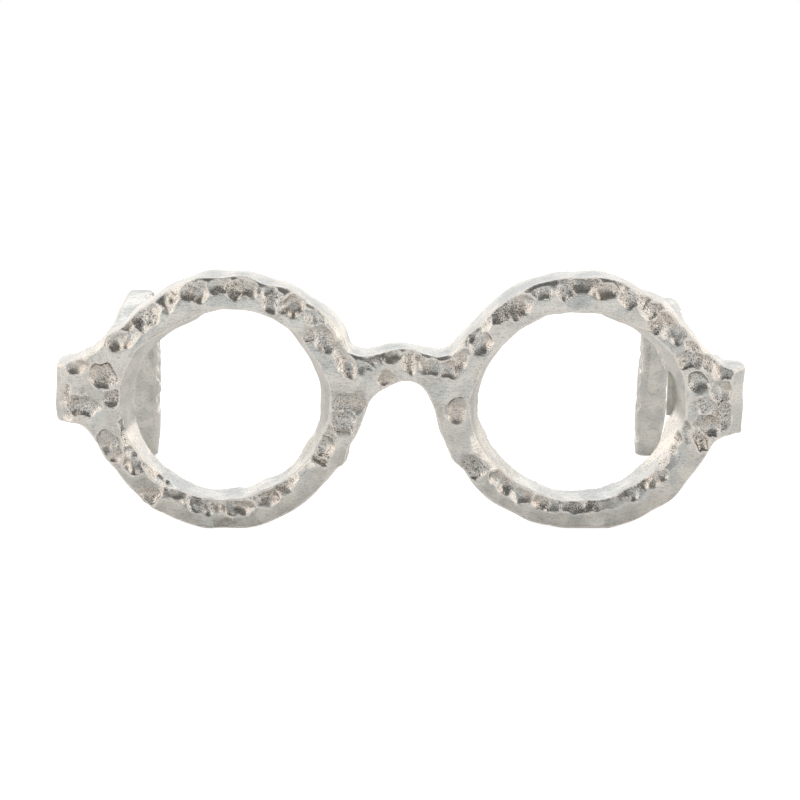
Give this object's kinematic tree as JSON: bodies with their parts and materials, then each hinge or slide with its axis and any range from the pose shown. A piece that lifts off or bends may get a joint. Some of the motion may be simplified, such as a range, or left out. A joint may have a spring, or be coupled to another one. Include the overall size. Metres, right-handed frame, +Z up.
{
  "type": "eyeglasses sculpture",
  "caption": "Oversized round eyeglasses of hammered cast metal for a shelf or table: open round rims, a nose bridge, and two hooked temples that fold on pinned hinges.",
  "frame": {"origin": "middle of the footprint, on the surface that the object stands on", "axes": "+X to the viewer's right along both rims, +Y back along the temples, +Z up; the front faces -Y"},
  "size_m": [0.32, 0.1584, 0.12],
  "materials": {
    "cast_aluminium": "hammered satin, bright on the ridges",
    "hinge_steel": "brushed, nickel plated",
    "screw_steel": "turned, nickel plated"
  },
  "bodies": {
    "front": {"front_frame": "cast_aluminium", "hinge_front_leaf_left": "hinge_steel", "hinge_pin_left": "hinge_steel", "front_leaf_screws_left": "screw_steel", "hinge_front_leaf_right": "hinge_steel", "hinge_pin_right": "hinge_steel", "front_leaf_screws_right": "screw_steel"},
    "arm_left": {"temple_left": "cast_aluminium", "hinge_temple_leaf_left": "hinge_steel", "temple_leaf_screws_left": "screw_steel"},
    "arm_right": {"temple_right": "cast_aluminium", "hinge_temple_leaf_right": "hinge_steel", "temple_leaf_screws_right": "screw_steel"}
  },
  "joints": [
    {"name": "temple_fold_left", "type": "hinge", "parent": "front", "child": "arm_left", "pos_m": [-0.1395, -0.0583, 0.067], "axis": [0, 0, -1], "range_deg": [0, 90]},
    {"name": "temple_fold_right", "type": "hinge", "parent": "front", "child": "arm_right", "pos_m": [0.1395, -0.0583, 0.0634], "axis": [0, 0, 1], "range_deg": [0, 90]}
  ]
}
